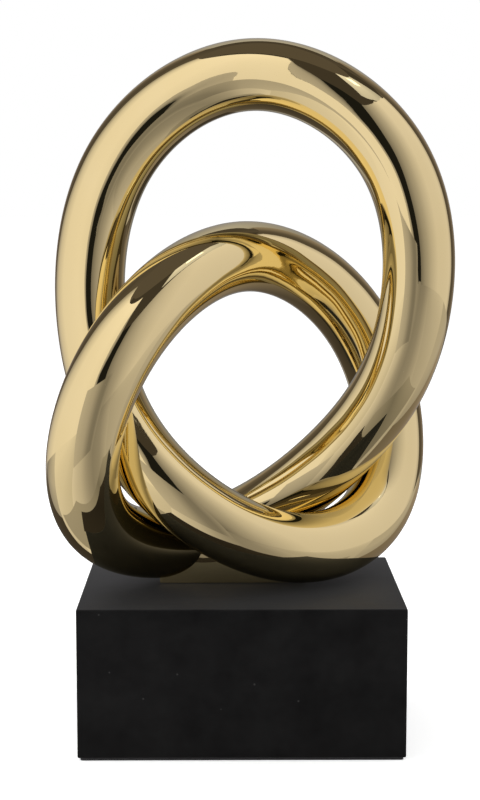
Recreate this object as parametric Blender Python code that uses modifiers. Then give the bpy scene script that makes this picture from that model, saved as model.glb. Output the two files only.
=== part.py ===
"""A knot sculpture: a mirror-gold bar tied in a closed knot, standing on a matt black block.

Metres, +Z up. The origin is on the table, under the middle of the whole sculpture. +X is the
viewer's right and +Y points away from the viewer, seen from the front.
"""
import math

import bpy
import bmesh
from mathutils import Vector

# Outer sizes of the knot, and the thickness of its bar
KNOT_WIDTH = 0.188
KNOT_DEPTH = 0.125
KNOT_HEIGHT = 0.258
BAR_DIAMETER = 0.0334

# The foot cast under the lower crossing, round the pockets of the threaded sleeves
FOOT_X = -0.0088
FOOT_Y = 0.003
FOOT_WALL = 0.0022
FOOT_END = 0.008
FOOT_ROOF = 0.0017
FOOT_PROUD = 0.0008
FOOT_CORNER = 0.001

# The block
BLOCK_WIDTH = 0.150
BLOCK_DEPTH = 0.110
BLOCK_HEIGHT = 0.0693
BLOCK_EDGE = 0.0007
BLOCK_X = -0.0048
WELL_ROOF = 0.020
WELL_GAP = 0.001

# The felt glued under the block
FELT_THICKNESS = 0.001
FELT_INSET = 0.001
FELT_CORNER = 0.0015

# Screws, washers and threaded sleeves, on two axes through the foot
SCREW_SPACING = 0.054
SCREW_DIAMETER = 0.005
SCREW_ENGAGEMENT = 0.008
HEAD_DIAMETER = 0.0085
HEAD_HEIGHT = 0.005
HEX_ACROSS_FLATS = 0.004
HEX_DEPTH = 0.0025
SCREW_CHAMFER = 0.0005
WASHER_DIAMETER = 0.012
WASHER_THICKNESS = 0.0012
INSERT_DIAMETER = 0.008
INSERT_LENGTH = 0.010
INSERT_GROOVE = 0.0006
POCKET_SPARE = 0.002

# Clearances: between faces that touch, around what sits in a hole, and around a screw's shank
SEAT_GAP = 0.0003
HOLE_GAP = 0.0003
SHANK_GAP = 0.0003

# How finely round shapes are divided, and how far a cutter reaches past what it cuts
RINGS_PER_POINT = 9
BAR_SIDES = 24
ROUND_STEPS = 24
CORNER_STEPS = 4
MEASURE_STEPS = 40
CUT_PAST = 0.001

# The bar's path: control points of a closed NURBS curve, clockwise from the top, in millimetres
# at the size first drawn: across, away from the viewer, and up. The named sizes above stretch it.
PATH = [
    (1, 5, 258),      # crown of the tall loop
    (78, -17, 208),   # its right shoulder
    (80, -19, 121),   # its right side, leaning forward
    (53, 22, 64),     # through the right crossing, in front, then falling back
    (-12, 33, 11),    # under the lower crossing, behind
    (-85, -31, 21),   # round the lower left lobe, swinging forward
    (-74, -59, 110),  # up through the left crossing, in front
    (-8, 5, 176),     # top of the small ring
    (68, 54, 123),    # down through the right crossing, behind
    (78, 40, 22),     # round the lower right lobe
    (16, -24, 11),    # over the lower crossing, in front
    (-52, -20, 55),   # rising towards the left crossing
    (-81, 14, 112),   # past the left crossing, behind
    (-75, 12, 206),   # left shoulder of the tall loop
]

# Heights that several pieces share
BLOCK_BOTTOM = FELT_THICKNESS + SEAT_GAP
BLOCK_TOP = BLOCK_BOTTOM + BLOCK_HEIGHT
FOOT_BOTTOM = BLOCK_TOP + SEAT_GAP
BAR_BOTTOM = FOOT_BOTTOM + FOOT_PROUD
BAR_TOP = BLOCK_TOP + KNOT_HEIGHT
WELL_TOP = BLOCK_TOP - WELL_ROOF
WASHER_BOTTOM = WELL_TOP - SEAT_GAP - WASHER_THICKNESS
HEAD_TOP = WASHER_BOTTOM - SEAT_GAP
HEAD_BOTTOM = HEAD_TOP - HEAD_HEIGHT
INSERT_BOTTOM = FOOT_BOTTOM + SEAT_GAP
INSERT_TOP = INSERT_BOTTOM + INSERT_LENGTH
SCREW_TOP = INSERT_BOTTOM + SCREW_ENGAGEMENT
POCKET_TOP = INSERT_TOP + POCKET_SPARE

# Widths that follow from what sits inside
HOLE_DIAMETER = SCREW_DIAMETER + 2 * SHANK_GAP
POCKET_DIAMETER = INSERT_DIAMETER + 2 * HOLE_GAP
WELL_DIAMETER = WASHER_DIAMETER + 2 * WELL_GAP
FOOT_LENGTH = SCREW_SPACING + 2 * FOOT_END
FOOT_WIDTH = POCKET_DIAMETER + 2 * FOOT_WALL


def clear_scene():
    for item in list(bpy.data.objects):
        bpy.data.objects.remove(item, do_unlink=True)


def new_collection(name):
    collection = bpy.data.collections.new(name)
    bpy.context.scene.collection.children.link(collection)
    return collection


def material(name, colour, roughness, metallic):
    finish = bpy.data.materials.new(name)
    finish.use_nodes = True
    shader = finish.node_tree.nodes["Principled BSDF"]
    shader.inputs["Base Color"].default_value = (*colour, 1.0)
    shader.inputs["Roughness"].default_value = roughness
    shader.inputs["Metallic"].default_value = metallic
    finish.diffuse_color = (*colour, 1.0)
    return finish


def mesh_object(name, mesh, collection):
    item = bpy.data.objects.new(name, mesh)
    collection.objects.link(item)
    return item


def shade_round(item, degrees=35):
    item.data.shade_smooth()
    item.data.set_sharp_from_angle(angle=math.radians(degrees))


def mark_cutter(item):
    item.hide_render = True
    item.display_type = 'WIRE'


# The path of the bar

def blend_weights(u):
    """Weights of four neighbouring control points at u, from 0 to 1, of a cubic NURBS span."""
    return ((1 - u) ** 3 / 6,
            (3 * u ** 3 - 6 * u ** 2 + 4) / 6,
            (-3 * u ** 3 + 3 * u ** 2 + 3 * u + 1) / 6,
            u ** 3 / 6)


def centreline(points, steps):
    """Points along the closed curve, steps of them for each control point."""
    line = []
    for i in range(len(points)):
        for k in range(steps):
            weights = blend_weights(k / steps)
            place = Vector((0, 0, 0))
            for j in range(4):
                place += weights[j] * Vector(points[(i + j - 1) % len(points)])
            line.append(place)
    return line


def stretched(values, drawn, low, high):
    """Moves and stretches one coordinate so that the drawn curve's reach becomes low to high."""
    start = min(drawn)
    scale = (high - low) / (max(drawn) - start)
    return [low + (value - start) * scale for value in values]


def bar_points():
    """The control points, stretched so that the finished bar fills the knot's outer sizes."""
    drawn = centreline(PATH, MEASURE_STEPS)
    radius = BAR_DIAMETER / 2
    limits = [(-KNOT_WIDTH / 2 + radius, KNOT_WIDTH / 2 - radius),
              (-KNOT_DEPTH / 2 + radius, KNOT_DEPTH / 2 - radius),
              (BAR_BOTTOM + radius, BAR_TOP - radius)]
    columns = []
    for axis, (low, high) in enumerate(limits):
        column = [point[axis] for point in PATH]
        reach = [point[axis] for point in drawn]
        columns.append(stretched(column, reach, low, high))
    return [Vector(point) for point in zip(*columns)]


def least_strand_gap(points):
    """The narrowest space between two strands, measured on points of the centreline.

    Points less than three and a half diameters apart along the bar belong to one strand.
    """
    line = centreline(points, RINGS_PER_POINT)
    lengths = [(line[i] - line[i - 1]).length for i in range(len(line))]
    along = [sum(lengths[1:i + 1]) for i in range(len(line))]
    total = sum(lengths)
    nearest = total
    for i in range(len(line)):
        for j in range(i):
            apart = along[i] - along[j]
            if min(apart, total - apart) > 3.5 * BAR_DIAMETER:
                nearest = min(nearest, (line[i] - line[j]).length)
    return nearest - BAR_DIAMETER


# Shapes that several pieces use

def turned(name, profile, collection):
    """A solid turned round Z from a profile of (radius, height) that runs down its outer side."""
    mesh = bpy.data.meshes.new(name)
    shape = bmesh.new()
    corners = [shape.verts.new((radius, 0, height)) for radius, height in profile]
    for first, second in zip(corners, corners[1:]):
        shape.edges.new((first, second))
    shape.to_mesh(mesh)
    shape.free()
    item = mesh_object(name, mesh, collection)
    screw = item.modifiers.new("Turn", 'SCREW')
    screw.steps = ROUND_STEPS
    screw.render_steps = ROUND_STEPS
    screw.use_merge_vertices = True
    screw.merge_threshold = 0.00001
    return item


def ring_profile(outer, inner, bottom, top):
    """A closed profile: down the outer side, in along the bottom, up the bore and out on top."""
    return [(outer, top), (outer, bottom), (inner, bottom), (inner, top), (outer, top)]


def box_mesh(name, width, depth, bottom, top, corner):
    """A box centred on Z, with its four upright edges rounded."""
    mesh = bpy.data.meshes.new(name)
    shape = bmesh.new()
    bmesh.ops.create_cube(shape, size=1.0)
    bmesh.ops.scale(shape, vec=(width, depth, top - bottom), verts=shape.verts)
    bmesh.ops.translate(shape, vec=(0, 0, (top + bottom) / 2), verts=shape.verts)
    upright = [edge for edge in shape.edges
               if abs(edge.verts[0].co.z - edge.verts[1].co.z) > (top - bottom) / 2]
    bmesh.ops.bevel(shape, geom=upright, offset=corner, segments=CORNER_STEPS, profile=0.5,
                    affect='EDGES')
    shape.to_mesh(mesh)
    shape.free()
    return mesh


def rod_cutter(name, diameter, bottom, top, collection, sides=ROUND_STEPS):
    mesh = bpy.data.meshes.new(name)
    shape = bmesh.new()
    bmesh.ops.create_cone(shape, cap_ends=True, segments=sides, radius1=diameter / 2,
                          radius2=diameter / 2, depth=top - bottom)
    bmesh.ops.translate(shape, vec=(0, 0, (top + bottom) / 2), verts=shape.verts)
    shape.to_mesh(mesh)
    shape.free()
    item = mesh_object(name, mesh, collection)
    mark_cutter(item)
    return item


def boolean(item, other, operation):
    step = item.modifiers.new(operation.title() + " " + other.name, 'BOOLEAN')
    step.operation = operation
    step.solver = 'EXACT'
    step.object = other
    return step


# The pieces

def screw_axes():
    """The two upright axes, left and right, that the screws share with their sleeves."""
    return {"left": Vector((FOOT_X - SCREW_SPACING / 2, FOOT_Y, 0)),
            "right": Vector((FOOT_X + SCREW_SPACING / 2, FOOT_Y, 0))}


def make_bar(points, parts):
    """The closed bar, as a mesh made from a NURBS curve with a round bevel."""
    curve = bpy.data.curves.new("bar", 'CURVE')
    curve.dimensions = '3D'
    curve.bevel_depth = BAR_DIAMETER / 2
    curve.bevel_resolution = (BAR_SIDES - 4) // 2
    spline = curve.splines.new('NURBS')
    spline.points.add(len(points) - 1)
    for knot_point, place in zip(spline.points, points):
        knot_point.co = (*place, 1.0)
    spline.order_u = 4
    spline.resolution_u = RINGS_PER_POINT
    spline.use_cyclic_u = True
    guide = bpy.data.objects.new("bar_curve", curve)
    parts.objects.link(guide)
    bpy.context.view_layer.update()
    settled = guide.evaluated_get(bpy.context.evaluated_depsgraph_get())
    mesh = bpy.data.meshes.new_from_object(settled)
    shape = bmesh.new()
    shape.from_mesh(mesh)
    bmesh.ops.remove_doubles(shape, verts=shape.verts, dist=0.00001)
    bmesh.ops.recalc_face_normals(shape, faces=shape.faces)
    shape.to_mesh(mesh)
    shape.free()
    bar = mesh_object("knot_casting", mesh, parts)
    bar.matrix_world = guide.matrix_world
    bpy.data.objects.remove(guide, do_unlink=True)
    return bar


def make_knot(parts, cutters, gold):
    points = bar_points()
    print("least gap between strands: %.2f mm" % (least_strand_gap(points) * 1000))
    knot = make_bar(points, parts)
    foot = mesh_object("foot_shape", box_mesh("foot_shape", FOOT_LENGTH, FOOT_WIDTH, FOOT_BOTTOM,
                                              POCKET_TOP + FOOT_ROOF, FOOT_CORNER), cutters)
    foot.location = (FOOT_X, FOOT_Y, 0)
    mark_cutter(foot)
    joined = boolean(knot, foot, 'UNION')
    joined.use_self = True
    for side, axis in screw_axes().items():
        pocket = rod_cutter("pocket_" + side, POCKET_DIAMETER, FOOT_BOTTOM - CUT_PAST, POCKET_TOP,
                            cutters)
        pocket.location = axis
        boolean(knot, pocket, 'DIFFERENCE')
    knot.data.materials.append(gold)
    shade_round(knot)


def make_block(parts, cutters, black):
    mesh = bpy.data.meshes.new("base_block")
    shape = bmesh.new()
    bmesh.ops.create_cube(shape, size=1.0)
    bmesh.ops.scale(shape, vec=(BLOCK_WIDTH, BLOCK_DEPTH, BLOCK_HEIGHT), verts=shape.verts)
    shape.to_mesh(mesh)
    shape.free()
    block = mesh_object("base_block", mesh, parts)
    block.location = (BLOCK_X, 0, BLOCK_BOTTOM + BLOCK_HEIGHT / 2)
    eased = block.modifiers.new("Eased edges", 'BEVEL')
    eased.width = BLOCK_EDGE
    eased.segments = 2
    for side, axis in screw_axes().items():
        well = rod_cutter("well_" + side, WELL_DIAMETER, BLOCK_BOTTOM - CUT_PAST, WELL_TOP, cutters)
        hole = rod_cutter("hole_" + side, HOLE_DIAMETER, WELL_TOP - CUT_PAST, BLOCK_TOP + CUT_PAST,
                          cutters)
        for cutter in (well, hole):
            cutter.location = axis
            boolean(block, cutter, 'DIFFERENCE')
    block.data.materials.append(black)


def make_felt(parts, black_felt):
    felt = mesh_object("felt_sheet", box_mesh("felt_sheet", BLOCK_WIDTH - 2 * FELT_INSET,
                                              BLOCK_DEPTH - 2 * FELT_INSET, 0, FELT_THICKNESS,
                                              FELT_CORNER), parts)
    felt.location = (BLOCK_X, 0, 0)
    felt.data.materials.append(black_felt)


def make_insert(side, axis, parts, brass):
    """A brass sleeve in five equal bands, of which two are grooves that the casting grips."""
    outer = INSERT_DIAMETER / 2
    waist = outer - INSERT_GROOVE
    bore = HOLE_DIAMETER / 2
    band = INSERT_LENGTH / 5
    profile = []
    for count, radius in enumerate((outer, waist, outer, waist, outer)):
        profile.append((radius, INSERT_TOP - count * band))
        profile.append((radius, INSERT_TOP - (count + 1) * band))
    profile += [(bore, INSERT_BOTTOM), (bore, INSERT_TOP), (outer, INSERT_TOP)]
    sleeve = turned("threaded_insert_" + side, profile, parts)
    sleeve.location = axis
    sleeve.data.materials.append(brass)
    shade_round(sleeve)


def make_washer(side, axis, parts, steel):
    washer = turned("washer_" + side, ring_profile(WASHER_DIAMETER / 2, HOLE_DIAMETER / 2,
                                                   WASHER_BOTTOM, WASHER_BOTTOM + WASHER_THICKNESS),
                    parts)
    washer.location = axis
    washer.data.materials.append(steel)
    shade_round(washer)


def make_screw(side, axis, parts, cutters, steel):
    """A socket-head screw, point up, with its head under the washer."""
    shank = SCREW_DIAMETER / 2
    head = HEAD_DIAMETER / 2
    profile = [(0, SCREW_TOP), (shank - SCREW_CHAMFER, SCREW_TOP),
               (shank, SCREW_TOP - SCREW_CHAMFER), (shank, HEAD_TOP), (head, HEAD_TOP),
               (head, HEAD_BOTTOM + SCREW_CHAMFER), (head - SCREW_CHAMFER, HEAD_BOTTOM),
               (0, HEAD_BOTTOM)]
    screw = turned("fixing_screw_" + side, profile, parts)
    screw.location = axis
    socket = rod_cutter("hex_" + side, HEX_ACROSS_FLATS / math.cos(math.radians(30)),
                        HEAD_BOTTOM - CUT_PAST, HEAD_BOTTOM + HEX_DEPTH, cutters, sides=6)
    socket.location = axis
    boolean(screw, socket, 'DIFFERENCE')
    screw.data.materials.append(steel)
    shade_round(screw)


def main():
    clear_scene()
    parts = new_collection("knot_sculpture")
    cutters = new_collection("cutters")
    gold = material("mirror_gold", (0.84, 0.66, 0.38), 0.03, 1.0)
    black = material("matt_black_paint", (0.012, 0.012, 0.012), 0.55, 0.0)
    brass = material("brass", (0.72, 0.50, 0.20), 0.3, 1.0)
    steel = material("zinc_plated_steel", (0.60, 0.61, 0.62), 0.3, 1.0)
    felt = material("black_felt", (0.015, 0.015, 0.015), 0.95, 0.0)
    make_knot(parts, cutters, gold)
    make_block(parts, cutters, black)
    make_felt(parts, felt)
    for side, axis in screw_axes().items():
        make_insert(side, axis, parts, brass)
        make_washer(side, axis, parts, steel)
        make_screw(side, axis, parts, cutters, steel)


main()
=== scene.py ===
# %% [markdown]
# A knot sculpture: the looks
#
# The object is a round bar of mirror gold, tied in a closed knot, on a matt black block. The CAD
# model already gives every piece its place and its real size. This file loads that model as a
# fixed frame and dresses it: smoother shapes where the CAD is faceted, and a real finish on each
# piece. Everything is in metres, with +Z up and the viewer on the -Y side.

# %% Load the frame
import math

import bmesh
import bpy
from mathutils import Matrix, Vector, noise


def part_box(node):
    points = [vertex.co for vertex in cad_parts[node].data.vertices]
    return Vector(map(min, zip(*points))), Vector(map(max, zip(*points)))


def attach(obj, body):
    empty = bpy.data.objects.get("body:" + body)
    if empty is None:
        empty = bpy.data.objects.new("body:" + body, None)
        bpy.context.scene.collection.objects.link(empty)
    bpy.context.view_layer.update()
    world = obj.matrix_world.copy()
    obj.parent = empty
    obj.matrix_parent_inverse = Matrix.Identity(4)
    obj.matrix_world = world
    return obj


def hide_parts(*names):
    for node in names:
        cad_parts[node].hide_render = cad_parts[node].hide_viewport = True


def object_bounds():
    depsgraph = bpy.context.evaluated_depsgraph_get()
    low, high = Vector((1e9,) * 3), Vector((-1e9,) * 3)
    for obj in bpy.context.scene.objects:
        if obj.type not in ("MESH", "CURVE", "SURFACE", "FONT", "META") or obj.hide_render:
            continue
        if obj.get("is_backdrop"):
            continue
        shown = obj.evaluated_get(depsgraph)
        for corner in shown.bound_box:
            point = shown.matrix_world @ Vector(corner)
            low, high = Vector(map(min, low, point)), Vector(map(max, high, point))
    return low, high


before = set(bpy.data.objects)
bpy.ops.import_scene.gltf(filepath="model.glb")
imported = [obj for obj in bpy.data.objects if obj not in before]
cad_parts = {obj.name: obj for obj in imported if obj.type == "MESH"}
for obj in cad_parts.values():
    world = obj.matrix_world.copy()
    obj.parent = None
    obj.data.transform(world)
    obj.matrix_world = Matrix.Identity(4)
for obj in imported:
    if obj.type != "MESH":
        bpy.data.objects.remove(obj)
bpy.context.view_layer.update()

# %% [markdown]
# Working by hand, in code
#
# So each piece starts by clearing the selection, and inside edit mode the faces, edges or points
# to work on are picked by where they are. A finished piece has its place in its mesh and its
# object at the origin, because its patterns are laid out in object coordinates.

# %% Helpers for selecting and finishing
HOLE_SIDES = 64


def start_alone(piece=None):
    """Object mode, with nothing selected, or with one piece selected and active."""
    if bpy.context.object and bpy.context.object.mode != 'OBJECT':
        bpy.ops.object.mode_set(mode='OBJECT')
    bpy.ops.object.select_all(action='DESELECT')
    if piece:
        piece.select_set(True)
        bpy.context.view_layer.objects.active = piece


def new_piece(name):
    """Names the object that an operator has just added, and gives it to the caller."""
    piece = bpy.context.object
    piece.name = piece.data.name = name
    return piece


def pick(piece, kind, test):
    """In edit mode, selects the points, edges or faces of a piece that pass a test."""
    bpy.ops.mesh.select_mode(type=kind)
    bpy.ops.mesh.select_all(action='DESELECT')
    shape = bmesh.from_edit_mesh(piece.data)
    chosen = {'VERT': shape.verts, 'EDGE': shape.edges, 'FACE': shape.faces}[kind]
    count = 0
    for item in chosen:
        if test(item):
            item.select_set(True)
            count += 1
    shape.select_flush_mode()
    bmesh.update_edit_mesh(piece.data)
    return count


def apply_all(piece):
    """Applies every modifier of a piece, from the top down."""
    start_alone(piece)
    for name in [step.name for step in piece.modifiers]:
        bpy.ops.object.modifier_apply(modifier=name)


def settle(piece):
    """Puts a piece's place, turn and size into its mesh, so that its object is at the origin."""
    start_alone(piece)
    bpy.ops.object.transform_apply(location=True, rotation=True, scale=True)
    return piece


def smooth(piece, degrees):
    """Shades a piece smooth, but leaves edges sharper than this angle crisp."""
    start_alone(piece)
    bpy.ops.object.shade_smooth_by_angle(angle=math.radians(degrees))


def cut_with(piece, cutter, operation):
    """Joins or cuts a piece with another shape, which is then thrown away."""
    start_alone(piece)
    step = piece.modifiers.new(operation.title(), 'BOOLEAN')
    step.operation = operation
    step.solver = 'EXACT'
    step.object = cutter
    bpy.ops.object.modifier_apply(modifier=step.name)
    bpy.data.objects.remove(cutter, do_unlink=True)


def rod(name, diameter, bottom, top, axis):
    """An upright rod on an axis, for cutting holes."""
    start_alone()
    bpy.ops.mesh.primitive_cylinder_add(vertices=HOLE_SIDES, radius=diameter / 2,
                                        depth=top - bottom,
                                        location=(*axis, (top + bottom) / 2))
    return settle(new_piece(name))


# %% [markdown]
# The camera
#
# The photograph was taken with a long lens from a little above the middle of the knot, so the
# block shows a thin strip of its top and its upright edges stay nearly upright. A long lens far
# away flattens a shape. Here the focal length is written in pixels of the 480 x 800 picture,
# which is how it was measured, and turned into the millimetres that Blender wants.

# %% Place the camera
PICTURE_HEIGHT = 800
FOCAL_PIXELS = 1690
SENSOR = 36
EYE = Vector((-0.0109, -0.7994, 0.2586))
LOOK_DOWN = 7.10
LOOK_RIGHT = 0.40

start_alone()
bpy.ops.object.camera_add(location=EYE, rotation=(math.radians(90 - LOOK_DOWN), 0,
                                                  math.radians(-LOOK_RIGHT)))
camera = bpy.context.object
camera.name = "photo_camera"
camera.data.sensor_width = SENSOR
camera.data.lens = FOCAL_PIXELS * SENSOR / PICTURE_HEIGHT
bpy.context.scene.camera = camera
bpy.context.scene.view_settings.view_transform = 'Standard'
print("camera: lens %.1f mm" % camera.data.lens)

# %% [markdown]
# Shader groups
#
# Several finishes share the same small effects: a cloudy variation, worn edges, dust and turning
# marks. Each effect is a node group with named sockets, built once, and every material sets its
# own values. A group gives out only colours, masks, values or normals. The shader itself stays in
# the material.

# %% A small kit for node trees


class Tree:
    """Adds nodes to one tree and links them, so that a recipe reads from top to bottom."""

    def __init__(self, tree):
        self.tree = tree

    def add(self, kind, settings=None, **sockets):
        """Adds a node. A socket's value is a number, a colour, or the socket that feeds it."""
        node = self.tree.nodes.new(kind)
        for name, value in (settings or {}).items():
            setattr(node, name, value)
        for name, value in sockets.items():
            socket = self.socket(node, name)
            if isinstance(value, bpy.types.NodeSocket):
                self.tree.links.new(value, socket)
            else:
                socket.default_value = value
        return node

    def socket(self, node, name):
        """An input by its number (written _0) or by its name with spaces for underscores."""
        if name[1:].isdigit():
            return node.inputs[int(name[1:])]
        return node.inputs[name.replace("_", " ")]

    def math(self, operation, *values):
        """A sum of plain numbers."""
        node = self.add('ShaderNodeMath', {"operation": operation},
                        **{"_%d" % i: value for i, value in enumerate(values)})
        return node.outputs[0]

    def vector(self, operation, *values):
        """A sum of vectors."""
        node = self.add('ShaderNodeVectorMath', {"operation": operation},
                        **{"_%d" % i: value for i, value in enumerate(values)})
        return node.outputs["Value" if operation in ('LENGTH', 'DOT_PRODUCT') else "Vector"]

    def noise(self, place, scale, detail=2.0, roughness=0.5, distortion=0.0):
        """A smooth random value at each place. A larger scale makes it finer."""
        node = self.add('ShaderNodeTexNoise', Vector=place, Scale=scale, Detail=detail,
                        Roughness=roughness, Distortion=distortion)
        return node.outputs["Fac"]

    def between(self, value, low, high, to_low=0.0, to_high=1.0):
        """Spreads a value from low..high over to_low..to_high, and holds it inside."""
        node = self.add('ShaderNodeMapRange', _0=value, _1=low, _2=high, _3=to_low, _4=to_high)
        return node.outputs[0]

    def mix(self, mask, first, second):
        """The first colour where the mask is zero, the second where it is one."""
        node = self.add('ShaderNodeMix', {"data_type": 'RGBA'}, _0=mask, _6=first, _7=second)
        return node.outputs[2]

    def place(self):
        """Where we are on the object, in metres."""
        return self.add('ShaderNodeTexCoord').outputs["Object"]

    def parts(self, vector):
        """The X, Y and Z of a vector, as three sockets."""
        return self.add('ShaderNodeSeparateXYZ', _0=vector).outputs

    def upward(self):
        """How far the surface looks up: one on a top, zero on a side."""
        return self.parts(self.add('ShaderNodeNewGeometry').outputs["Normal"])[2]


def new_group(name, inputs, outputs):
    """A node group. Inputs are (name, kind, starting value), and outputs are (name, kind)."""
    group = bpy.data.node_groups.new(name, 'ShaderNodeTree')
    for label, kind, start in inputs:
        socket = group.interface.new_socket(name=label, in_out='INPUT', socket_type=kind)
        socket.default_value = start
    for label, kind in outputs:
        group.interface.new_socket(name=label, in_out='OUTPUT', socket_type=kind)
    given = group.nodes.new('NodeGroupInput').outputs
    out = group.nodes.new('NodeGroupOutput')
    return group, Tree(group), given, out


def finish_group(tree, out, **values):
    """Joins a group's results to its named outputs."""
    for name, value in values.items():
        tree.tree.links.new(value, out.inputs[name.replace("_", " ")])
    print("group:", tree.tree.name)


NUMBER = 'NodeSocketFloat'

# %% [markdown]
# Cloudiness
#
# No plated or painted surface is even. Broad soft clouds of tone come from handling and from the
# way a coat settles. Two noises of unlike size, mixed, give clouds without an obvious repeat.

# %% Group: clouds
group, tree, given, out = new_group("clouds", [("Size", NUMBER, 0.02), ("Softness", NUMBER, 0.3)],
                                    [("Mask", NUMBER)])
place = tree.place()
wide = tree.noise(place, tree.math('DIVIDE', 1.0, given["Size"]), detail=2.0)
fine = tree.noise(place, tree.math('DIVIDE', 3.7, given["Size"]), detail=3.0)
both = tree.math('ADD', tree.math('MULTIPLY', wide, 0.7), tree.math('MULTIPLY', fine, 0.3))
half = tree.math('MULTIPLY', given["Softness"], 0.5)
finish_group(tree, out, Mask=tree.between(both, tree.math('SUBTRACT', 0.5, half),
                                          tree.math('ADD', 0.5, half)))
CLOUDS = group

# %% [markdown]
# Worn edges
#
# Fingers and packing rub a coat thin along its edges first. Blender can round a normal over a
# small radius. Where that rounded normal turns away from the true one, there is an edge. A noise
# breaks the line up, because wear is never even.

# %% Group: worn edges
group, tree, given, out = new_group("worn edges", [("Radius", NUMBER, 0.0006),
                                                   ("Breakup", NUMBER, 0.006)],
                                    [("Mask", NUMBER)])
rounded = tree.add('ShaderNodeBevel', {"samples": 6}, Radius=given["Radius"]).outputs["Normal"]
true = tree.add('ShaderNodeNewGeometry').outputs["Normal"]
turned = tree.math('SUBTRACT', 1.0, tree.vector('DOT_PRODUCT', rounded, true))
line = tree.between(turned, 0.004, 0.16)
patchy = tree.noise(tree.place(), tree.math('DIVIDE', 1.0, given["Breakup"]), detail=4.0,
                    roughness=0.6)
finish_group(tree, out, Mask=tree.math('MULTIPLY', line, tree.between(patchy, 0.35, 0.65, 0.25)))
WORN_EDGES = group

# %% [markdown]
# Dust
#
# Dust is a scatter of tiny pale specks. A Voronoi texture gives one point to each cell, and the
# distance to that point draws a round speck. Each cell's own random colour then decides if there
# is a speck at all and how large it is. More lies on faces that look up.

# %% Group: dust
group, tree, given, out = new_group("dust", [("Spacing", NUMBER, 0.006), ("Size", NUMBER, 0.0002),
                                             ("Amount", NUMBER, 0.3)], [("Mask", NUMBER)])
cells = tree.add('ShaderNodeTexVoronoi', Vector=tree.place(),
                 Scale=tree.math('DIVIDE', 1.0, given["Spacing"]), Randomness=1.0)
lot = tree.add('ShaderNodeSeparateColor', _0=cells.outputs["Color"]).outputs
reach = tree.math('MULTIPLY', cells.outputs["Distance"], given["Spacing"])
size = tree.math('MULTIPLY', given["Size"], tree.between(lot[1], 0.0, 1.0, 0.4, 1.2))
speck = tree.between(tree.math('DIVIDE', reach, size), 0.6, 1.1, 1.0, 0.0)
share = tree.math('MULTIPLY', given["Amount"],
                  tree.between(tree.upward(), -0.2, 1.0, 0.35, 1.0))
kept = tree.math('LESS_THAN', lot[0], share)
finish_group(tree, out, Mask=tree.math('MULTIPLY', speck, kept))
DUST = group

# %% [markdown]
# Turning marks
#
# A sleeve, a washer and a screw head are cut on a lathe, which leaves fine rings round the axis.
# The distance from the axis, and the height along it, both drive a wave, and a little noise
# keeps the rings from being perfect.

# %% Group: turning marks
group, tree, given, out = new_group("turning marks", [("Axis X", NUMBER, 0.0),
                                                      ("Axis Y", NUMBER, 0.0),
                                                      ("Pitch", NUMBER, 0.0002)],
                                    [("Height", NUMBER), ("Radius", NUMBER), ("Turn", NUMBER)])
axis = tree.add('ShaderNodeCombineXYZ', _0=given["Axis X"], _1=given["Axis Y"]).outputs[0]
off = tree.parts(tree.vector('SUBTRACT', tree.place(), axis))
radius = tree.math('SQRT', tree.math('ADD', tree.math('MULTIPLY', off[0], off[0]),
                                     tree.math('MULTIPLY', off[1], off[1])))
both = tree.math('ADD', radius, off[2])
steps = tree.math('DIVIDE', both, given["Pitch"])
uneven = tree.noise(tree.add('ShaderNodeCombineXYZ', _0=steps).outputs[0], 0.7, detail=3.0)
finish_group(tree, out, Height=uneven, Radius=radius,
             Turn=tree.math('DIVIDE', tree.math('ARCTAN2', off[1], off[0]), 2 * math.pi))
TURNING_MARKS = group

# %% [markdown]
# Materials
#
# Every finish starts from one Principled shader. What is the same all over a piece is set straight
# on the shader's socket. What changes over the surface comes from nodes, and they feed the colour,
# the roughness or the normal. One bump can stand on another, so coarse and fine relief add up.

# %% Helpers for materials


def new_material(name):
    """A material with its Principled shader, and the Tree to build the rest with."""
    material = bpy.data.materials.new(name)
    material.use_nodes = True
    tree = Tree(material.node_tree)
    return material, tree, material.node_tree.nodes["Principled BSDF"]


def use(tree, group, **sockets):
    """Places a node group in a material, with that material's own values."""
    node = tree.add('ShaderNodeGroup', {"node_tree": group})
    for name, value in sockets.items():
        node.inputs[name.replace("_", " ")].default_value = value
    return node.outputs


def bump(tree, shader, height, strength, distance, under=None):
    """Feeds a height to the shader's normal, on top of another bump if there is one."""
    node = tree.add('ShaderNodeBump', Height=height, Strength=strength, Distance=distance)
    if under:
        tree.tree.links.new(under, node.inputs["Normal"])
    tree.tree.links.new(node.outputs[0], shader.inputs["Normal"])
    return node.outputs[0]


def feed(tree, shader, name, value):
    """Links a value or a colour to one of the shader's sockets."""
    tree.tree.links.new(value, shader.inputs[name])


def paint(piece, material):
    """Gives a piece, or a CAD node, one material all over."""
    piece.data.materials.clear()
    piece.data.materials.append(material)


# %% [markdown]
# The bar of the knot
#
# On the real sculpture this is one resin casting, ground smooth and plated. It could be swept,
# or skinned over rings, but a closed NURBS curve with a round bevel is the shortest honest way:
# the curve runs along the middle of the bar, and the bevel is the bar's thickness. The fourteen
# points are the CAD's own, in millimetres, and the named sizes stretch them to the real object.
# The CAD bar has 24 sides. This one has 68, because a mirror shows every facet.

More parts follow.
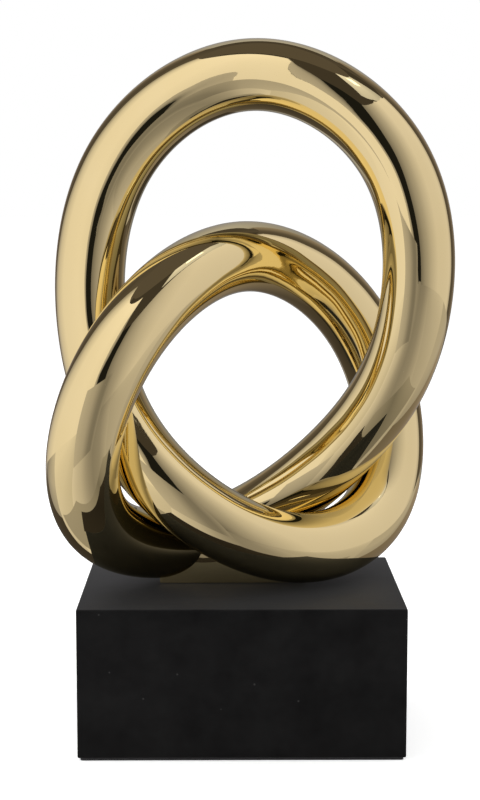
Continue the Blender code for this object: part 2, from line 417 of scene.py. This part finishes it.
# %% The bar's path and thickness
PATH = [
    (1, 5, 258), (78, -17, 208), (80, -19, 121), (53, 22, 64), (-12, 33, 11), (-85, -31, 21),
    (-74, -59, 110), (-8, 5, 176), (68, 54, 123), (78, 40, 22), (16, -24, 11), (-52, -20, 55),
    (-81, 14, 112), (-75, 12, 206),
]
BAR_DIAMETER = 0.0334
FOOT_PROUD = 0.0008
RINGS_PER_POINT = 36
BAR_SIDES = 68
MERGE_DISTANCE = 0.000001
print("path:", len(PATH), "points, bar", 1000 * BAR_DIAMETER, "mm")

# %% Helpers for the path


def add_path():
    """The closed curve through the air, at the size first drawn, with no thickness yet."""
    start_alone()
    bpy.ops.curve.primitive_nurbs_circle_add(radius=0.1)
    curve = new_piece("knot_casting_bar")
    bpy.ops.object.mode_set(mode='EDIT')
    bpy.ops.curve.select_all(action='SELECT')
    bpy.ops.curve.delete(type='VERT')
    bpy.ops.object.mode_set(mode='OBJECT')
    spline = curve.data.splines.new('NURBS')
    spline.points.add(len(PATH) - 1)
    for point, place in zip(spline.points, PATH):
        point.co = (*(value / 1000 for value in place), 1.0)
    spline.use_cyclic_u = True
    spline.order_u = 4
    spline.resolution_u = RINGS_PER_POINT
    curve.data.dimensions = '3D'
    return curve


def stretch_path(curve, low, high):
    """Moves and stretches the curve's points until its middle line fills a box."""
    bpy.context.view_layer.update()
    line = curve.to_mesh()
    reach = [(min(v.co[a] for v in line.vertices), max(v.co[a] for v in line.vertices))
             for a in range(3)]
    curve.to_mesh_clear()
    for point in curve.data.splines[0].points:
        for a in range(3):
            share = (point.co[a] - reach[a][0]) / (reach[a][1] - reach[a][0])
            point.co[a] = low[a] + share * (high[a] - low[a])


# %% Draw the bar
node_low, node_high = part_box("knot_casting")
radius = BAR_DIAMETER / 2
bar = add_path()
stretch_path(bar, node_low + Vector((radius, radius, radius + FOOT_PROUD)),
             node_high - Vector((radius, radius, radius)))
bar.data.bevel_depth = radius
# A round bevel has four sides, and two more for each step of its resolution
bar.data.bevel_resolution = (BAR_SIDES - 4) // 2
start_alone(bar)
bpy.ops.object.convert(target='MESH')
bpy.ops.object.mode_set(mode='EDIT')
bpy.ops.mesh.select_all(action='SELECT')
bpy.ops.mesh.remove_doubles(threshold=MERGE_DISTANCE)
bpy.ops.mesh.normals_make_consistent(inside=False)
bpy.ops.object.mode_set(mode='OBJECT')
knot = settle(bar)
knot.name = knot.data.name = "knot_gold"
print("bar:", len(knot.data.vertices), "points")

# %% [markdown]
# The foot and its pockets
#
# Two round bars touch a flat block only in points, so the casting has a small foot under its
# lower crossing, and the screws grip brass sleeves cast into it. The foot is a cube, stretched,
# with its upright edges rounded. It is joined to the bar by an exact Boolean, and the two
# pockets are cut the same way.

# %% Add the foot and cut the pockets
FOOT_X, FOOT_Y = -0.0088, 0.003
SCREW_SPACING = 0.054
FOOT_LENGTH, FOOT_WIDTH, FOOT_TOP = 0.070, 0.013, 0.0849
FOOT_CORNER = 0.001
POCKET_DIAMETER, POCKET_TOP = 0.0086, 0.0832
CUT_PAST = 0.001
AXES = {"left": (FOOT_X - SCREW_SPACING / 2, FOOT_Y),
        "right": (FOOT_X + SCREW_SPACING / 2, FOOT_Y)}


def upright(edge):
    """True for an edge that runs up and down."""
    first, second = edge.verts
    return abs(first.co.z - second.co.z) > 0.9 * edge.calc_length()


foot_bottom = node_low.z
start_alone()
bpy.ops.mesh.primitive_cube_add(size=1, location=(FOOT_X, FOOT_Y, (foot_bottom + FOOT_TOP) / 2))
foot = new_piece("foot")
foot.scale = (FOOT_LENGTH, FOOT_WIDTH, FOOT_TOP - foot_bottom)
settle(foot)
bpy.ops.object.mode_set(mode='EDIT')
pick(foot, 'EDGE', upright)
bpy.ops.mesh.bevel(offset=FOOT_CORNER, segments=6, affect='EDGES')
bpy.ops.object.mode_set(mode='OBJECT')
cut_with(knot, foot, 'UNION')
for axis in AXES.values():
    pocket = rod("pocket", POCKET_DIAMETER, foot_bottom - CUT_PAST, POCKET_TOP, axis)
    cut_with(knot, pocket, 'DIFFERENCE')
smooth(knot, degrees=32)
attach(knot, "root")
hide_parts("knot_casting")
print("knot:", len(knot.data.polygons), "faces")

# %% [markdown]
# Mirror gold
#
# The plating is a pale gold, as bright as a mirror. Its colour is the metal's own reflection, so
# it goes to Base Color with Metallic at one, and what we see is the room. A perfect mirror looks
# false, so three small things are added: clouds that shift the tone a little, a roughness that
# rises where hands have been, and a very shallow waviness, because the resin under the plating
# was ground and polished by hand.

# %% The gold finish
GOLD = (0.893, 0.762, 0.418, 1.0)
GOLD_DEEP = (0.878, 0.742, 0.388, 1.0)

gold, tree, shader = new_material("mirror_gold")
shader.inputs["Metallic"].default_value = 1.0
tone = use(tree, CLOUDS, Size=0.035, Softness=0.5)["Mask"]
feed(tree, shader, "Base Color", tree.mix(tone, GOLD, GOLD_DEEP))
hands = use(tree, CLOUDS, Size=0.018, Softness=0.35)["Mask"]
specks = use(tree, DUST, Spacing=0.005, Size=0.00012, Amount=0.25)["Mask"]
feed(tree, shader, "Roughness", tree.math('ADD', tree.between(hands, 0.0, 1.0, 0.012, 0.035),
                                          tree.math('MULTIPLY', specks, 0.4)))
wavy = tree.noise(tree.place(), scale=28.0, detail=1.0, roughness=0.4)
under = bump(tree, shader, wavy, strength=0.05, distance=0.01)
orange_peel = tree.noise(tree.place(), scale=240.0, detail=1.0)
bump(tree, shader, orange_peel, strength=0.008, distance=0.0005, under=under)
paint(knot, gold)
print("finish:", gold.name)

# %% [markdown]
# The block
#
# The base is a block of wood, painted matt black. It starts as a cube and gets its size, a soft
# edge all round, and the two stepped wells that the screws come up through. The wells open
# downwards, behind the felt.

# %% Shape the block
BLOCK_EDGE = 0.0007
WELL_DIAMETER, WELL_ROOF = 0.014, 0.020
HOLE_DIAMETER = 0.0056

low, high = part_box("base_block")
start_alone()
bpy.ops.mesh.primitive_cube_add(size=1, location=(low + high) / 2)
block = new_piece("block_painted")
block.scale = high - low
settle(block)
bpy.ops.object.mode_set(mode='EDIT')
bpy.ops.mesh.select_mode(type='EDGE')
bpy.ops.mesh.select_all(action='SELECT')
bpy.ops.mesh.bevel(offset=BLOCK_EDGE, segments=5, affect='EDGES')
bpy.ops.object.mode_set(mode='OBJECT')
well_top = high.z - WELL_ROOF
for axis in AXES.values():
    well = rod("well", WELL_DIAMETER, low.z - CUT_PAST, well_top, axis)
    cut_with(block, well, 'DIFFERENCE')
    hole = rod("hole", HOLE_DIAMETER, well_top - CUT_PAST, high.z + CUT_PAST, axis)
    cut_with(block, hole, 'DIFFERENCE')
smooth(block, degrees=25)
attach(block, "root")
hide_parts("base_block")
print("block:", len(block.data.polygons), "faces")

# %% [markdown]
# Matt black paint
#
# Sprayed matt paint is nearly black, but not flat: its tone drifts, its skin is a fine stipple
# left by the droplets, its edges are rubbed a little paler, and dust shows on it at once. The top
# is painted a little paler than the sides: partly a thin layer of dust, and partly a painted sheen
# for the light that the top throws back at a low angle. A paler colour alone would make the gold
# mirror a grey block from below. Real dust is pale only when it is seen at a low angle, and that
# is what Sheen does, so a little sheen does most of the work and the painted colour stays dark.

# %% The paint finish
PAINT = (0.0036, 0.0036, 0.0037, 1.0)
PAINT_THIN = (0.0090, 0.0090, 0.0089, 1.0)
RUBBED = (0.030, 0.029, 0.028, 1.0)
# Painted sheen, partly dust: the paler, cool colour given to faces that look up
DUST_AND_SHEEN_TOP = (0.029, 0.031, 0.036, 1.0)
DUST_SPECK = (0.040, 0.039, 0.038, 1.0)

black, tree, shader = new_material("matt_black_paint")
shader.inputs["Specular IOR Level"].default_value = 0.12
shader.inputs["Sheen Weight"].default_value = 0.115
shader.inputs["Sheen Roughness"].default_value = 0.4
drift = use(tree, CLOUDS, Size=0.018, Softness=0.4)["Mask"]
colour = tree.mix(drift, PAINT, PAINT_THIN)
edges = use(tree, WORN_EDGES, Radius=0.0008, Breakup=0.007)["Mask"]
colour = tree.mix(edges, colour, RUBBED)
# How much painted sheen and dust the top gets, drifting with the paint's tone
thickness = tree.between(drift, 0.0, 1.0, 0.27, 0.34)
top_dust_and_sheen = tree.math('MULTIPLY', tree.between(tree.upward(), 0.5, 1.0), thickness)
colour = tree.mix(top_dust_and_sheen, colour, DUST_AND_SHEEN_TOP)
specks = use(tree, DUST, Spacing=0.005, Size=0.00045, Amount=0.45)["Mask"]
colour = tree.mix(specks, colour, DUST_SPECK)
feed(tree, shader, "Base Color", colour)
feed(tree, shader, "Roughness", tree.math('SUBTRACT', tree.between(drift, 0.0, 1.0, 0.50, 0.58),
                                          tree.math('MULTIPLY', edges, 0.08)))
stipple = tree.noise(tree.place(), scale=2600.0, detail=2.0, roughness=0.6)
under = bump(tree, shader, stipple, strength=0.20, distance=0.0001)
along_the_grain = tree.add('ShaderNodeMapping', Vector=tree.place(),
                           Scale=(60.0, 420.0, 420.0)).outputs[0]
grain = tree.noise(along_the_grain, scale=1.0, detail=3.0)
bump(tree, shader, grain, strength=0.05, distance=0.0002, under=under)
paint(block, black)
print("finish:", black.name)

# %% [markdown]
# The felt
#
# A thin sheet of pressed felt is glued under the block, a little smaller than it, so that the
# table isn't scratched. It is cut from a plane, its corners are rounded, and Solidify gives it
# its thickness. Its cut edge is never straight, so the outline wanders inwards by a tenth of a
# millimetre or so.

# %% Cut the felt
FELT_CORNER = 0.0015
FELT_RAGGED = 0.00022
FELT_CUTS = 60
RAGGED_SCALE = 400

low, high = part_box("felt_sheet")
centre = (low + high) / 2
start_alone()
bpy.ops.mesh.primitive_plane_add(size=1, location=(centre.x, centre.y, low.z))
felt = new_piece("felt_pad")
felt.scale = (high.x - low.x, high.y - low.y, 1)
settle(felt)
bpy.ops.object.mode_set(mode='EDIT')
bpy.ops.mesh.select_all(action='SELECT')
bpy.ops.mesh.bevel(offset=FELT_CORNER, segments=6, affect='VERTICES')
pick(felt, 'EDGE', lambda edge: edge.calc_length() > 10 * FELT_CORNER)
bpy.ops.mesh.subdivide(number_cuts=FELT_CUTS)
bpy.ops.object.mode_set(mode='OBJECT')
for vert in felt.data.vertices:
    wander = 0.5 + 0.5 * noise.noise(vert.co * RAGGED_SCALE)
    inwards = Vector((centre.x - vert.co.x, centre.y - vert.co.y, 0)).normalized()
    vert.co += inwards * FELT_RAGGED * wander
thick = felt.modifiers.new("Thickness", 'SOLIDIFY')
thick.thickness = high.z - low.z
thick.offset = 1
apply_all(felt)
smooth(felt, degrees=40)
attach(felt, "root")
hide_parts("felt_sheet")

# %% [markdown]
# Black felt
#
# Felt is a mat of short fibres pressed together in every direction. Two stretched noises that
# cross each other give the fibres, and a little sheen gives the soft light that fibres throw
# back at the edge.

# %% The felt finish
FELT_DARK = (0.010, 0.010, 0.011, 1.0)
FELT_LIGHT = (0.026, 0.026, 0.028, 1.0)

felt_black, tree, shader = new_material("black_felt")
shader.inputs["Sheen Weight"].default_value = 0.25
shader.inputs["Sheen Roughness"].default_value = 0.6
fibres = []
for turn, stretch in ((0.5, (1.0, 0.18, 1.0)), (-0.7, (0.18, 1.0, 1.0))):
    combed = tree.add('ShaderNodeMapping', Vector=tree.place(), Rotation=(0.0, 0.0, turn),
                      Scale=stretch).outputs[0]
    fibres.append(tree.noise(combed, scale=3200.0, detail=3.0, distortion=0.6))
mat = tree.math('MULTIPLY', tree.math('ADD', *fibres), 0.5)
feed(tree, shader, "Base Color", tree.mix(tree.between(mat, 0.35, 0.65), FELT_DARK, FELT_LIGHT))
feed(tree, shader, "Roughness", tree.between(mat, 0.3, 0.7, 0.98, 0.85))
bump(tree, shader, mat, strength=0.6, distance=0.0003)
paint(felt, felt_black)
print("finish:", felt_black.name)

# %% [markdown]
# Brass and zinc
#
# The sleeves, screws and washers have their true shapes in the CAD, so they stay and only get a
# better finish. Sleeves are bright turned brass. Screws and washers are steel with a thin coat
# of zinc, which is cool and slightly cloudy. The screw's thread is a spiral: the angle round the
# axis, plus the height in steps of the pitch, drives a saw-shaped height on its shank only.

# %% Finishes for the small metal parts
BRASS, BRASS_DARK = (0.78, 0.56, 0.25, 1.0), (0.60, 0.40, 0.16, 1.0)
ZINC, ZINC_CLOUD = (0.66, 0.68, 0.71, 1.0), (0.52, 0.54, 0.56, 1.0)
THREAD_PITCH = 0.0008
SHANK_RADIUS = 0.0026


def turned_metal(name, axis, bright, dull, thread):
    """Turned metal on one axis: rings, cloudy tone, pale worn edges, and a thread if asked."""
    material, tree, shader = new_material(name)
    shader.inputs["Metallic"].default_value = 1.0
    marks = use(tree, TURNING_MARKS, Axis_X=axis[0], Axis_Y=axis[1], Pitch=0.00016)
    cloudy = use(tree, CLOUDS, Size=0.004, Softness=0.4)["Mask"]
    edges = use(tree, WORN_EDGES, Radius=0.0002, Breakup=0.0015)["Mask"]
    colour = tree.mix(cloudy, bright, dull)
    feed(tree, shader, "Base Color", tree.mix(edges, colour, bright))
    feed(tree, shader, "Roughness", tree.math('ADD', tree.between(cloudy, 0.0, 1.0, 0.20, 0.34),
                                              tree.between(marks["Height"], 0.3, 0.7, 0.0, 0.08)))
    under = bump(tree, shader, marks["Height"], strength=0.25, distance=0.00003)
    if thread:
        up = tree.parts(tree.place())[2]
        spiral = tree.math('ADD', tree.math('DIVIDE', up, THREAD_PITCH), marks["Turn"])
        ridge = tree.math('PINGPONG', spiral, 0.5)
        shank = tree.math('LESS_THAN', marks["Radius"], SHANK_RADIUS)
        bump(tree, shader, tree.math('MULTIPLY', ridge, shank), strength=0.9, distance=0.0006,
             under=under)
    print("finish:", material.name)
    return material


for side, axis in AXES.items():
    paint(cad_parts["threaded_insert_" + side],
          turned_metal("turned_brass_" + side, axis, BRASS, BRASS_DARK, False))
    zinc = turned_metal("zinc_plate_" + side, axis, ZINC, ZINC_CLOUD, True)
    for name in ("fixing_screw_", "washer_"):
        paint(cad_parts[name + side], zinc)

# %% [markdown]
# The table and the white room
#
# The photograph has a pure white background. Turning the lamps up would burn the object out, so
# the white is given only to rays that come from the camera or from a reflection: the Light Path
# node tells them apart. Everything else sees a calm, plain light. The table keeps a real diffuse
# part, so the block still throws a soft shadow on it.

# %% Table and world
SURROUND = 0.75
TABLE_SIZE = 30
TABLE_GLOW = 0.45
TABLE_WHITE, TABLE_PALER = (0.80, 0.80, 0.80, 1.0), (0.82, 0.82, 0.82, 1.0)


def seen_directly(tree):
    """One for rays from the camera, from a reflection or through glass, zero for the rest."""
    ways = tree.add('ShaderNodeLightPath').outputs
    both = tree.math('MAXIMUM', ways["Is Camera Ray"], ways["Is Glossy Ray"])
    return tree.math('MAXIMUM', both, ways["Is Transmission Ray"])


world = bpy.data.worlds.new("white_room")
bpy.context.scene.world = world
world.use_nodes = True
world.node_tree.nodes.clear()
tree = Tree(world.node_tree)
strength = tree.between(seen_directly(tree), 0.0, 1.0, SURROUND, 1.0)
room = tree.add('ShaderNodeBackground', Color=(1.0, 1.0, 1.0, 1.0), Strength=strength)
tree.add('ShaderNodeOutputWorld', Surface=room.outputs[0])

start_alone()
bpy.ops.mesh.primitive_plane_add(size=TABLE_SIZE, location=(0, 0, 0))
floor = new_piece("floor")
white = bpy.data.materials.new("white_table")
white.use_nodes = True
white.node_tree.nodes.clear()
tree = Tree(white.node_tree)
speckle = tree.noise(tree.place(), scale=60.0, detail=3.0)
matt = tree.add('ShaderNodeBsdfDiffuse', Color=tree.mix(speckle, TABLE_WHITE, TABLE_PALER))
glow = tree.add('ShaderNodeEmission',
                Strength=tree.math('MULTIPLY', seen_directly(tree), TABLE_GLOW))
both = tree.add('ShaderNodeAddShader', _0=matt.outputs[0], _1=glow.outputs[0])
tree.add('ShaderNodeOutputMaterial', Surface=both.outputs[0])
paint(floor, white)
floor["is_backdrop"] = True
print("table:", TABLE_SIZE, "m wide")

# %% [markdown]
# What the gold reflects
#
# A mirror is only as good as what stands round it. A photographer sets tall white screens to the
# left and right, leaves a dark gap at the camera, and keeps the ceiling and the corners behind
# dark, which draws a fine dark line along every edge of the bar. An image of a studio wrapped round
# the scene would be one way, but it puts everything infinitely far away. Cards that stand where
# the real things stood give each strand its own view of them, and the knot's own reflections
# fall between them. The cards are seen only by reflections, so they are never in the picture
# themselves and don't change the plain light.

# %% Helpers for cards
RING = 0.8
CENTRE_X = -0.006
STEPS_ACROSS, STEPS_UP, STEPS_FLAT = 90, 30, 30


def show_to_reflections_only(card):
    """Hides a card from the camera, from matt surfaces and from shadows."""
    card.visible_camera = False
    card.visible_diffuse = False
    card.visible_shadow = False
    card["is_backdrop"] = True


def light_card(name, stops, tint, top_tone):
    """A glowing card. stops are (share of its width, brightness), top_tone fades it upwards."""
    material = bpy.data.materials.new(name)
    material.use_nodes = True
    material.node_tree.nodes.clear()
    tree = Tree(material.node_tree)
    where = tree.parts(tree.add('ShaderNodeTexCoord').outputs["UV"])
    ramp = tree.add('ShaderNodeValToRGB', Fac=where[0])
    points = ramp.color_ramp.elements
    for point, (share, tone) in zip(points, (stops[0], stops[-1])):
        point.position = share
        point.color = (*[tone * part for part in tint], 1)
    for share, tone in stops[1:-1]:
        points.new(share).color = (*[tone * part for part in tint], 1)
    fade = tree.between(where[1], 0.0, 1.0, 1.0, top_tone)
    glow = tree.add('ShaderNodeEmission', Color=ramp.outputs[0], Strength=fade)
    tree.add('ShaderNodeOutputMaterial', Surface=glow.outputs[0])
    return material


def even(tone):
    """Stops for a card of one brightness."""
    return [(0.0, tone), (1.0, tone)]


def along(values, share):
    """A value at a share of the way through evenly spaced ones. A single number stays as it is."""
    if isinstance(values, (int, float)):
        return values
    place = share * (len(values) - 1)
    first = min(int(place), len(values) - 2)
    return values[first] + (values[first + 1] - values[first]) * (place - first)


def bent_card(name, left, right, low, high, stops, tint=(1, 1, 1), top_tone=1.0, ring=RING):
    """A card on a ring round the knot, which is seen from the knot as angles and heights.

    left and right give its sides' angles from foot to top. low and high give its heights from
    left to right."""
    start_alone()
    bpy.ops.mesh.primitive_grid_add(x_subdivisions=STEPS_ACROSS, y_subdivisions=STEPS_UP, size=1,
                                    calc_uvs=True)
    card = new_piece(name)
    for vert in card.data.vertices:
        across, up = vert.co.x + 0.5, vert.co.y + 0.5
        start, end = along(left, up), along(right, up)
        angle = math.radians(start + (end - start) * across)
        bottom, top = along(low, across), along(high, across)
        vert.co = (CENTRE_X + ring * math.sin(angle), -ring * math.cos(angle),
                   bottom + (top - bottom) * up)
    paint(card, light_card(name, stops, tint, top_tone))
    show_to_reflections_only(card)


def flat_card(name, left, right, near, far, height, stops, tint=(1, 1, 1), top_tone=1.0):
    """A card lying level at one height. left and right give its sides' x from near to far."""
    start_alone()
    bpy.ops.mesh.primitive_grid_add(x_subdivisions=STEPS_FLAT, y_subdivisions=STEPS_FLAT, size=1,
                                    calc_uvs=True)
    card = new_piece(name)
    for vert in card.data.vertices:
        across, up = vert.co.x + 0.5, vert.co.y + 0.5
        start, end = along(left, up), along(right, up)
        vert.co = (start + (end - start) * across, near + (far - near) * up, height)
    paint(card, light_card(name, stops, tint, top_tone))
    show_to_reflections_only(card)


# %% [markdown]
# The screens and the dark line
#
# Angles count from the camera: zero is straight in front, left is negative. The left screen ends
# at LINE, and a dimmer band goes on from there to GAP. What is left open between GAP and the right
# screen is the dark line that runs down the middle of every strand. Neither edge is straight,
# because the line in the photograph wanders as it goes up.

# %% Set the screens
PALE, WARM = (1.055, 0.985, 1.02), (1.055, 0.98, 0.98)
COLD, BROWN = (1.0, 0.975, 1.05), (1.08, 0.91, 0.82)
LINE = (-16, -18, -20, -17, -15, -13, -11, -9, -9, -9)
GAP = (1, -12, -16, -10, -7, -7, -8, -8, -8, -8)

bent_card("screen_left", (-147, -121, -114, -107, -100), LINE, 0.0, (1.9, 1.8),
          [(0.0, 0.28), (0.14, 0.60), (0.35, 0.80), (0.8, 0.84), (1.0, 0.80)], WARM, top_tone=1.2)
bent_card("screen_left_dim", LINE, GAP, 0.0, 1.8,
          [(0.0, 0.47), (0.5, 0.40), (0.8, 0.28), (1.0, 0.13)], PALE, ring=0.81)
bent_card("screen_right", (9, 6, 3, 1, 2, 4, 6, 8), 114, 0.0, (0.85, 1.12, 1.34, 1.40, 1.36, 1.15),
          [(0.0, 0.17), (0.06, 0.24), (0.12, 0.31), (0.2, 0.38), (0.3, 0.49), (0.42, 0.59),
           (0.5, 0.65), (0.7, 0.66), (0.9, 0.68), (1.0, 0.45)], PALE, top_tone=1.2)
bent_card("screen_high", (28, 38), (106, 82), (1.28, 1.42, 1.42, 1.2), 2.15,
          [(0.0, 0.6), (0.15, 0.66), (0.6, 0.62), (1.0, 0.45)], COLD, top_tone=1.5, ring=0.82)
bent_card("lamp_seen", 52, 68, 1.78, 2.02, even(2.0))

# %% [markdown]
# The room round the screens
#
# Behind the screens the room is dark: at the camera, above it, in the corners and at the back.
# A low card close to the knot stands for the things on the near edge of the table.

# %% Close the room
bent_card("near_low", -36, 7, 0.0, (0.22, 0.22, 0.215, 0.21),
          [(0.0, 0.50), (0.4, 0.40), (0.7, 0.22), (0.85, 0.20), (1.0, 0.30)], PALE, ring=0.3)
bent_card("gap_at_camera", -60, 60, 0.0, 0.9, even(0.012), ring=0.85)
bent_card("room_above", -60, 120, 0.88, 2.25, even(0.050), BROWN, ring=0.86)
bent_card("corner_left", (-160, -158), -100, 0.0, 1.30,
          [(0.0, 0.32), (0.2, 0.12), (0.5, 0.075), (1.0, 0.10)], BROWN, ring=0.85)
bent_card("corner_right", 110, (152, 150), 0.0, 1.30,
          [(0.0, 0.13), (0.25, 0.08), (0.5, 0.11), (0.75, 0.20), (1.0, 0.28)], BROWN, ring=0.85)
bent_card("wall_behind", 145, 205, 0.0, 1.42, [(0.0, 0.17), (0.5, 0.20), (1.0, 0.17)], COLD,
          top_tone=2.6, ring=0.87)
bent_card("room_behind", 110, 260, 1.28, 2.25,
          [(0.0, 0.09), (0.25, 0.065), (0.6, 0.065), (1.0, 0.10)], BROWN, ring=0.88)
flat_card("ceiling", -1.5, 1.5, -1.5, 1.5, 2.22, even(0.095), BROWN)

# %% [markdown]
# The table as the gold sees it
#
# The real table isn't evenly white either. In front it is bright on the left and dimmer in a fan
# that opens towards the camera, and behind the knot it falls dark. Three small cards lie close:
# the block's soft shadow on the table in front of it, a painted reflection of the block, which is a
# dark strip just below the height of the block's top that lets the block reach a little further in
# the reflections, and a dark shelf behind that shades the inner rim of the tall loop.

# %% Lay the table
ON_TABLE, ON_SHADOW, STRIP_HEIGHT = 0.0006, 0.0009, 0.069
FAN_LEFT, FAN_RIGHT = (-0.47, -0.25, -0.10), (0.60, 0.31, 0.12)
BACK_LEFT, BACK_RIGHT = (-0.20, -0.37, -0.50), (0.15, 0.40, 0.65)

flat_card("table_left", -0.85, FAN_LEFT, -0.85, 0.0, ON_TABLE,
          [(0.0, 0.82), (0.5, 0.80), (0.85, 0.70), (1.0, 0.60)], WARM, top_tone=0.97)
flat_card("table_centre", FAN_LEFT, FAN_RIGHT, -0.85, 0.0, ON_TABLE,
          [(0.0, 0.60), (0.1, 0.52), (0.23, 0.44), (0.35, 0.32), (0.42, 0.27), (0.54, 0.22),
           (0.73, 0.25), (1.0, 0.38)], PALE, top_tone=1.2)
flat_card("table_right", FAN_RIGHT, 0.85, -0.85, 0.0, ON_TABLE,
          [(0.0, 0.38), (0.3, 0.46), (1.0, 0.58)], PALE, top_tone=1.1)
flat_card("block_shadow", (-0.12, -0.20), (0.14, 0.22), -0.13, -0.02, ON_SHADOW,
          [(0.0, 0.36), (0.35, 0.30), (0.55, 0.24), (0.72, 0.18), (1.0, 0.32)], WARM)
# A painted reflection of the block: a dark strip in the air just in front of it, seen only by the
# gold
flat_card("painted_block_reflection", -0.082, (0.0, 0.04), -0.076, -0.054, STRIP_HEIGHT,
          [(0.0, 0.028), (0.6, 0.020), (1.0, 0.030)], BROWN)
flat_card("side_left", -0.85, BACK_LEFT, 0.0, 0.5, ON_TABLE,
          [(0.0, 0.62), (0.8, 0.52), (1.0, 0.36)], PALE, top_tone=0.4)
flat_card("table_behind", BACK_LEFT, BACK_RIGHT, 0.0, 0.5, ON_TABLE,
          [(0.0, 0.05), (0.3, 0.035), (0.5, 0.05), (0.7, 0.13), (1.0, 0.16)], BROWN, top_tone=2.4)
flat_card("shelf_behind", 0.02, (0.18, 0.30), 0.15, 0.40, 0.15,
          [(0.0, 0.045), (0.7, 0.045), (1.0, 0.10)], BROWN)
flat_card("side_right", BACK_RIGHT, 0.85, 0.0, 0.5, ON_TABLE,
          [(0.0, 0.35), (0.2, 0.45), (1.0, 0.45)], PALE)
flat_card("table_far", -0.9, 0.9, 0.5, 0.9, ON_TABLE,
          [(0.0, 0.3), (0.4, 0.40), (0.5, 0.2), (1.0, 0.4)], COLD)

# %% [markdown]
# Lamps
#
# Two large soft lamps and the pale surroundings light the paint, the felt and the table. They
# are hidden from reflections, which see the cards instead.

# %% Soft lamps
LAMP_AIM = (0, 0, 0.15)
LAMP_SIZE = 0.9


def soft_lamp(name, place, watts):
    """A round soft lamp turned to the object's middle, hidden from the camera and from mirrors."""
    start_alone()
    bpy.ops.object.light_add(type='AREA', location=place)
    lamp = bpy.context.object
    lamp.name = name
    lamp.data.shape = 'DISK'
    lamp.data.size = LAMP_SIZE
    lamp.data.energy = watts
    lamp.rotation_euler = (Vector(LAMP_AIM) - Vector(place)).to_track_quat('-Z', 'Y').to_euler()
    lamp.visible_camera = False
    lamp.visible_glossy = False


soft_lamp("lamp_left", (-0.8, -0.15, 1.5), watts=10)
soft_lamp("lamp_right", (0.9, 0.1, 1.5), watts=7)

# %% [markdown]
# Print the size
#
# The dressed model should be as large as the CAD and no larger, so the size of all that is shown
# is printed.

# %% Sizes, and the end
low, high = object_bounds()
print("size:", [round(1000 * side, 2) for side in high - low], "mm")
